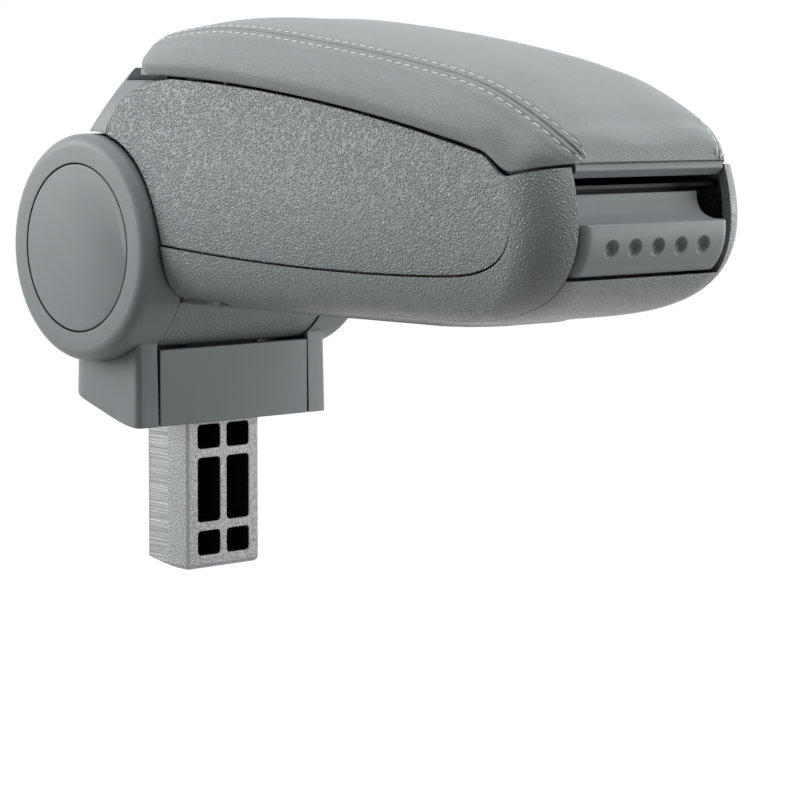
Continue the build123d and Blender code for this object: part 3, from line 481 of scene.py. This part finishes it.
def padRow(reach, skirt, seam, seamRise, crown):
    # half section from the plate's middle out round the tucked edge, up the side, over the seam to the crown
    parting = partingRise(reach)
    bottom = parting - lidPad["underhang"]
    sideRise = parting + lidPad["shoulder"] * (seamRise - parting)
    half = [(skirt - lidPad["turn"], bottom), (skirt, sideRise), (seam, seamRise)]
    points = np.array([*half, (0.0, crown), *((-x, rise) for x, rise in reversed(half))])
    chords = np.concatenate([[0], np.cumsum(np.linalg.norm(np.diff(points, axis=0), axis=1))])
    curve = naturalSpline(chords, points, np.linspace(0, chords[len(half)], lidPad["curveSteps"]))
    edge = parting + armLine["gap"] + lidPad["edgeLift"]
    curve = curve[curve[:, 1] >= edge]
    low = np.clip(1 - (curve[:, 1] - edge) / lidPad["rollHeight"], 0, 1)
    curve[:, 0] -= np.interp(reach, lidPad["rollFrom"], lidPad["rollDepth"]) * low ** 2
    length = np.concatenate([[0], np.cumsum(np.linalg.norm(np.diff(curve, axis=0), axis=1))])
    seamAt = length[np.argmin(np.linalg.norm(curve - (seam, seamRise), axis=1))]
    steps = np.array(lidPad["seamSteps"]) * min(1.0, seamAt / lidPad["seamRoom"])
    stations = np.concatenate([
        np.linspace(0, seamAt + steps[0], lidPad["sideSteps"] + 1)[:-1], seamAt + steps,
        np.linspace(seamAt + steps[-1], length[-1], lidPad["topSteps"] + 1)[1:],
    ])
    outer = np.stack([np.interp(stations, length, curve[:, k]) for k in (0, 1)], 1)
    plate = min(lidPad["plateEdge"], outer[0, 0] - lidPad["wall"])
    ceiling = parting + lidPad["plateTop"]
    under = [(plate * share, ceiling) for share in lidPad["plateShares"]]
    under += [
        (plate, ceiling - lidPad["plateRound"]),
        (plate + lidPad["wallLean"], edge + lidPad["wallFoot"]),
        ((plate + outer[0, 0]) / 2, edge - lidPad["edgeSag"]),
    ]
    return np.concatenate([under, outer])


def buildPad():
    table = np.array(lidPad["sections"])
    share = np.linspace(0, 1, lidPad["rows"])
    ease = share - lidPad["ease"] * np.sin(2 * np.pi * share)  # rows closer together at both ends
    reaches = table[0, 0] + ease * (table[-1, 0] - table[0, 0])
    values = naturalSpline(table[:, 0], table[:, 1:], reaches)
    halves = [(reach, padRow(reach, *row)) for reach, row in zip(reaches, values)]
    for (reach, half), row in zip(halves, values):  # a padded roll along the front edge, between the seams
        lift = sum(height * math.exp(-((reach - middle) / run) ** 2)
                   for height, middle, run in lidPad["frontBead"])
        half[underCount:, 1] += lift * np.clip((row[1] - half[underCount:, 0]) / lidPad["beadEnd"], 0, 1)
    first = halves[0][1]
    first[:underCount, 1] = first[underCount, 1]
    reach, last = halves[-1]
    edgeHalf, base, crown = *last[underCount], last[-1, 1]
    rolls = len(lidPad["frontRoll"])
    # the front edge rolls over and down to the lip, and the hollow under the pad closes
    for k, (forward, drop) in enumerate(lidPad["frontRoll"], 1):
        rolled = last.copy()
        rolled[:, 0] *= 1 - drop / edgeHalf / 2
        rolled[underCount:, 1] = base + (last[underCount:, 1] - base) * (1 - drop / (crown - base))
        rolled[:underCount, 1] = base + (last[:underCount, 1] - base) * (1 - k / rolls) ** 2
        halves.append((reach + forward, rolled))
    rings = []
    for reach, half in halves:
        ring = np.concatenate([half, half[-2:0:-1] * (-1, 1)])
        rings.append(np.stack([ring[:, 0], np.full(len(ring), -reach), ring[:, 1] + armLine["pivot"]], 1))
    return np.array(rings) * mm, len(half)


def padMesh(rings):
    rows, around = rings.shape[:2]
    faces = []
    for i in range(rows - 1):
        for j in range(around):
            k = (j + 1) % around
            faces.append((i * around + j, i * around + k, (i + 1) * around + k, (i + 1) * around + j))
    mesh = bpy.data.meshes.new("lidPadSkin")
    mesh.from_pydata([tuple(p) for p in rings.reshape(-1, 3)], [], faces)
    mesh.validate()
    return mesh


def outwards(mesh):
    work = bmesh.new()
    work.from_mesh(mesh)
    bmesh.ops.recalc_face_normals(work, faces=work.faces)
    work.to_mesh(mesh)
    work.free()


def closeEnds(mesh):
    # flat caps on the open ends, made after smoothing so that they pull nothing inwards
    work = bmesh.new()
    work.from_mesh(mesh)
    rim = [edge for edge in work.edges if edge.is_boundary]
    caps = bmesh.ops.holes_fill(work, edges=rim, sides=0)["faces"]
    for face in caps:
        face.smooth = False
    bmesh.ops.triangulate(work, faces=caps)
    bmesh.ops.recalc_face_normals(work, faces=work.faces)
    work.to_mesh(mesh)
    work.free()


def meshNormals(mesh):
    normals = np.zeros(len(mesh.vertices) * 3)
    mesh.vertices.foreach_get("normal", normals)
    return normals.reshape(-1, 3)


def meshPoints(mesh):
    points = np.zeros(len(mesh.vertices) * 3)
    mesh.vertices.foreach_get("co", points)
    return points.reshape(-1, 3)


def placePoints(mesh, points):
    mesh.vertices.foreach_set("co", points.ravel())
    mesh.update()


rings, halfCount = buildPad()
rows, around = rings.shape[:2]
padSkin = padMesh(rings)
outwards(padSkin)
seamFirst = underCount + lidPad["sideSteps"]
seamCount = len(lidPad["seamSteps"])
columns = np.arange(around)
mirror = np.where(columns < halfCount, columns, around - columns)
seamStep = mirror - seamFirst
inSeam = (seamStep >= 0) & (seamStep < seamCount)
pinned = (mirror <= underCount) | inSeam
ends = np.zeros((rows, around), bool)
ends[:lidPad["endRows"]] = ends[-lidPad["endRows"] - len(lidPad["frontRoll"]):] = True
hold = (pinned[None, :] | ends).ravel()

padPiece = bpy.data.objects.new("lidPadCover", padSkin)
scene.collection.objects.link(padPiece)
start = meshPoints(padSkin)
normals = meshNormals(padSkin)
reachRows = -rings[:, 0, 1] / mm
taper = np.minimum(reachRows - reachRows[0], reachRows[-1] - reachRows) / lidPad["taper"]
taper = np.repeat(np.clip(taper, 0, 1), around)[:, None]
shrunk = start - normals * (lidPad["shrink"] * mm) * (~hold)[:, None] * taper
placePoints(padSkin, shrunk)
group = padPiece.vertex_groups.new(name="sewn")
group.add([int(i) for i in np.flatnonzero(hold)], 1.0, "REPLACE")
cloth = padPiece.modifiers.new("stuffing", "CLOTH")
cloth.settings.vertex_group_mass = "sewn"
cloth.settings.use_pressure = True
cloth.settings.uniform_pressure_force = lidPad["pressure"]
cloth.settings.effector_weights.gravity = 0.0
cloth.settings.tension_stiffness = cloth.settings.compression_stiffness = lidPad["stiffness"]
cloth.settings.bending_stiffness = lidPad["bending"]
cloth.collision_settings.use_collision = False
for step in range(1, lidPad["frames"] + 1):
    scene.frame_set(step)
filled = bpy.data.meshes.new_from_object(padPiece.evaluated_get(bpy.context.evaluated_depsgraph_get()))
moved = meshPoints(filled) - shrunk
reachOut = np.linalg.norm(moved, axis=1, keepdims=True)
moved *= np.minimum(1, lidPad["cap"] * mm / np.maximum(reachOut, 1e-9))
padPiece.modifiers.remove(cloth)
padPiece.vertex_groups.clear()
placePoints(padSkin, shrunk + moved * taper)
scene.frame_set(1)
print("pad filled, moved up to %.2f mm" % (reachOut.max() / mm))

shape = np.zeros(around)
shape[inSeam] = np.array(lidPad["seamShape"])[seamStep[inSeam]] * mm
fade = np.ones(rows)
fade[[0, -1]] = 0.0  # the rows that the caps close stay as they are
seamLift = (fade[:, None] * shape[None, :]).reshape(-1, 1)
placePoints(padSkin, meshPoints(padSkin) + meshNormals(padSkin) * seamLift)
gather = np.zeros(around)
gather[inSeam] = 1 - np.abs(np.array(lidPad["seamSteps"])[seamStep[inSeam]]) / lidPad["gatherRun"]
hem = np.clip((reachRows - lidPad["hemFrom"]) / lidPad["hemRun"], 0, 1)
for name, values in (("gather", np.tile(gather, rows)), ("hem", np.repeat(hem, around))):
    padSkin.attributes.new(name, "FLOAT", "POINT").data.foreach_set("value", values)
padSkin.polygons.foreach_set("use_smooth", [True] * len(padSkin.polygons))
finer = padPiece.modifiers.new("finer", "SUBSURF")
finer.levels = finer.render_levels = lidPad["smoothing"]
finePad = bpy.data.meshes.new_from_object(padPiece.evaluated_get(bpy.context.evaluated_depsgraph_get()))
padPiece.modifiers.remove(finer)
closeEnds(finePad)
padPiece.data = finePad
finePad.materials.append(materials["leatherette"])
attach(padPiece, "lid")
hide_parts("lid_pad")
print("pad made:", len(finePad.polygons), "faces")

stitching = dict(pitch=5.6, length=5.0, width=0.95, height=0.9, rowSteps=(3, 11), skipRows=1, lift=0.05,
                 segments=8, rings=6)


def stitchTree():
    tree, source, sink = newGroup("stitchRow", "GeometryNodeTree", [
        ("Rows", "NodeSocketGeometry", None),
        ("Pitch", "NodeSocketFloat", 0.0056),
        ("Size", "NodeSocketVector", (0.002, 0.0005, 0.0004)),
        ("Thread", "NodeSocketMaterial", None),
    ], [("Stitches", "NodeSocketGeometry")])
    path = addNode(tree, "GeometryNodeMeshToCurve", {"Mesh": source.outputs["Rows"]})
    even = addNode(tree, "GeometryNodeResampleCurve", {"Curve": path.outputs["Curve"],
                                                       "Length": source.outputs["Pitch"]}, mode="LENGTH")
    lean = addNode(tree, "GeometryNodeInputNamedAttribute", {"Name": "lean"}, data_type="FLOAT_VECTOR")
    along = addNode(tree, "GeometryNodeInputTangent")
    turn = addNode(tree, "FunctionNodeAxesToRotation", {"Primary Axis": lean.outputs[0],
                                                        "Secondary Axis": along.outputs[0]},
                   primary_axis="Z", secondary_axis="X")
    bead = addNode(tree, "GeometryNodeMeshUVSphere", {
        "Segments": stitching["segments"], "Rings": stitching["rings"], "Radius": 1.0,
    })
    soft = addNode(tree, "GeometryNodeSetShadeSmooth", {"Geometry": bead.outputs["Mesh"]})
    placed = addNode(tree, "GeometryNodeInstanceOnPoints", {
        "Points": even.outputs["Curve"], "Instance": soft.outputs[0],
        "Rotation": turn.outputs[0], "Scale": source.outputs["Size"],
    })
    whole = addNode(tree, "GeometryNodeRealizeInstances", {"Geometry": placed.outputs[0]})
    dyed = addNode(tree, "GeometryNodeSetMaterial", {"Geometry": whole.outputs[0],
                                                     "Material": source.outputs["Thread"]})
    tree.links.new(dyed.outputs[0], sink.inputs["Stitches"])
    return tree


def stitchRows():
    points, normals = meshPoints(finePad), meshNormals(finePad)
    places, leans, edges = [], [], []
    for step in stitching["rowSteps"]:
        for column in np.flatnonzero(seamStep == step):
            first = len(places)
            for row in range(stitching["skipRows"], rows - stitching["skipRows"]):
                index = row * around + column
                places.append(tuple(points[index] + normals[index] * stitching["lift"] * mm))
                leans.append(tuple(normals[index]))
            edges += [(i, i + 1) for i in range(first, len(places) - 1)]
    mesh = bpy.data.meshes.new("stitchPaths")
    mesh.from_pydata(places, edges, [])
    attribute = mesh.attributes.new("lean", "FLOAT_VECTOR", "POINT")
    attribute.data.foreach_set("vector", np.array(leans).ravel())
    return mesh


stitchPiece = bpy.data.objects.new("padStitches", stitchRows())
scene.collection.objects.link(stitchPiece)
sewing = stitchPiece.modifiers.new("sewing", "NODES")
sewing.node_group = stitchTree()
settings = {
    "Pitch": stitching["pitch"] * mm,
    "Size": tuple(stitching[key] * mm / 2 for key in ("length", "width", "height")),
    "Thread": thread,
}
for item in sewing.node_group.interface.items_tree:
    if item.in_out == "INPUT" and item.name in settings:
        sewing[item.identifier] = settings[item.name]
sewn = bpy.data.meshes.new_from_object(stitchPiece.evaluated_get(bpy.context.evaluated_depsgraph_get()))
stitchPiece.modifiers.remove(sewing)
stitchPiece.data = sewn
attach(stitchPiece, "lid")
print("stitches sewn:", len(sewn.polygons), "faces")

studio = dict(floor=-0.0722, size=6.0, color=(0.28, 0.28, 0.28, 1.0), roughness=0.9, glow=0.86, shine=1.15,
              world=0.02, white=(1.0, 1.0, 1.0, 1.0))


def seesBackground(tree):
    # rays from the camera, off gloss and through glass
    rays = addNode(tree, "ShaderNodeLightPath")
    seen = addMath(tree, "MAXIMUM", rays.outputs["Is Camera Ray"], rays.outputs["Is Glossy Ray"])
    return addMath(tree, "MAXIMUM", seen, rays.outputs["Is Transmission Ray"])


def addFloor():
    mesh = bpy.data.meshes.new("studioFloor")
    s, z = studio["size"], studio["floor"]
    mesh.from_pydata([(-s, -s, z), (s, -s, z), (s, s, z), (-s, s, z)], [], [(0, 1, 2, 3)])
    floor = bpy.data.objects.new("studioFloor", mesh)
    scene.collection.objects.link(floor)
    material = bpy.data.materials.new("paleFloor")
    material.use_nodes = True
    tree = material.node_tree
    shader = tree.nodes["Principled BSDF"]
    shader.inputs["Base Color"].default_value = studio["color"]
    shader.inputs["Roughness"].default_value = studio["roughness"]
    glow = addNode(tree, "ShaderNodeEmission", {"Color": studio["white"], "Strength": studio["shine"]})
    share = addMath(tree, "MULTIPLY", seesBackground(tree), studio["glow"])
    mix = addNode(tree, "ShaderNodeMixShader", {0: share, 1: shader.outputs[0], 2: glow.outputs[0]})
    tree.links.new(mix.outputs[0], tree.nodes["Material Output"].inputs["Surface"])
    mesh.materials.append(material)


def addWorld():
    world = bpy.data.worlds.new("studioWorld")
    world.use_nodes = True
    tree = world.node_tree
    strength = addNode(tree, "ShaderNodeMapRange", {"Value": seesBackground(tree), "To Min": studio["world"],
                                                    "To Max": 1.0})
    back = tree.nodes["Background"]
    back.inputs["Color"].default_value = studio["white"]
    tree.links.new(strength.outputs[0], back.inputs["Strength"])
    scene.world = world


lamps = (  # name, place, aimed at, width, height, watts
    ("topSoftbox", (-0.12, -0.20, 1.15), (0.0, -0.14, 0.10), 1.1, 1.1, 8.6),
    ("frontTopSoftbox", (0.45, -0.95, 0.85), (0.0, -0.22, 0.12), 0.8, 0.8, 5.8),
    ("leftSoftbox", (-0.95, 1.10, 0.55), (0.0, -0.10, 0.08), 0.9, 0.9, 19.2),
    ("rightSoftbox", (1.20, -0.80, 0.12), (0.0, -0.15, 0.06), 1.2, 0.34, 8.0),
)


def addLamp(name, place, aim, width, height, watts):
    light = bpy.data.lights.new(name, "AREA")
    light.shape = "RECTANGLE"
    light.size, light.size_y = width, height
    light.energy = watts
    lamp = bpy.data.objects.new(name, light)
    scene.collection.objects.link(lamp)
    facing = (Vector(aim) - Vector(place)).to_track_quat("-Z", "Y").to_matrix().to_4x4()
    lamp.matrix_world = Matrix.Translation(place) @ facing


addFloor()
addWorld()
for lamp in lamps:
    addLamp(*lamp)

viewpoint = dict(yaw=-42.38, pitch=2.79, away=1.272, aim=(0.0, -0.120, 0.054), right=0.01433, up=0.03985,
                 lens=125.5, sensor=36.0, shift=(0.0125, -0.2114), clip=(0.05, 50.0))


def addCamera():
    yaw, pitch = math.radians(viewpoint["yaw"]), math.radians(viewpoint["pitch"])
    back = Vector((math.sin(yaw) * math.cos(pitch), -math.cos(yaw) * math.cos(pitch), math.sin(pitch)))
    right = Vector((math.cos(yaw), math.sin(yaw), 0.0))
    up = back.cross(right)
    aim = Vector(viewpoint["aim"]) + right * viewpoint["right"] + up * viewpoint["up"]
    place = aim + back * viewpoint["away"]
    data = bpy.data.cameras.new("photoView")
    data.lens = viewpoint["lens"]
    data.sensor_width = viewpoint["sensor"]
    data.shift_x, data.shift_y = viewpoint["shift"]
    data.clip_start, data.clip_end = viewpoint["clip"]
    camera = bpy.data.objects.new("photoView", data)
    scene.collection.objects.link(camera)
    camera.matrix_world = Matrix((right, up, back)).transposed().to_4x4()
    camera.matrix_world.translation = place
    scene.camera = camera


addCamera()
scene.view_settings.view_transform = "Standard"
print("studio and camera set")
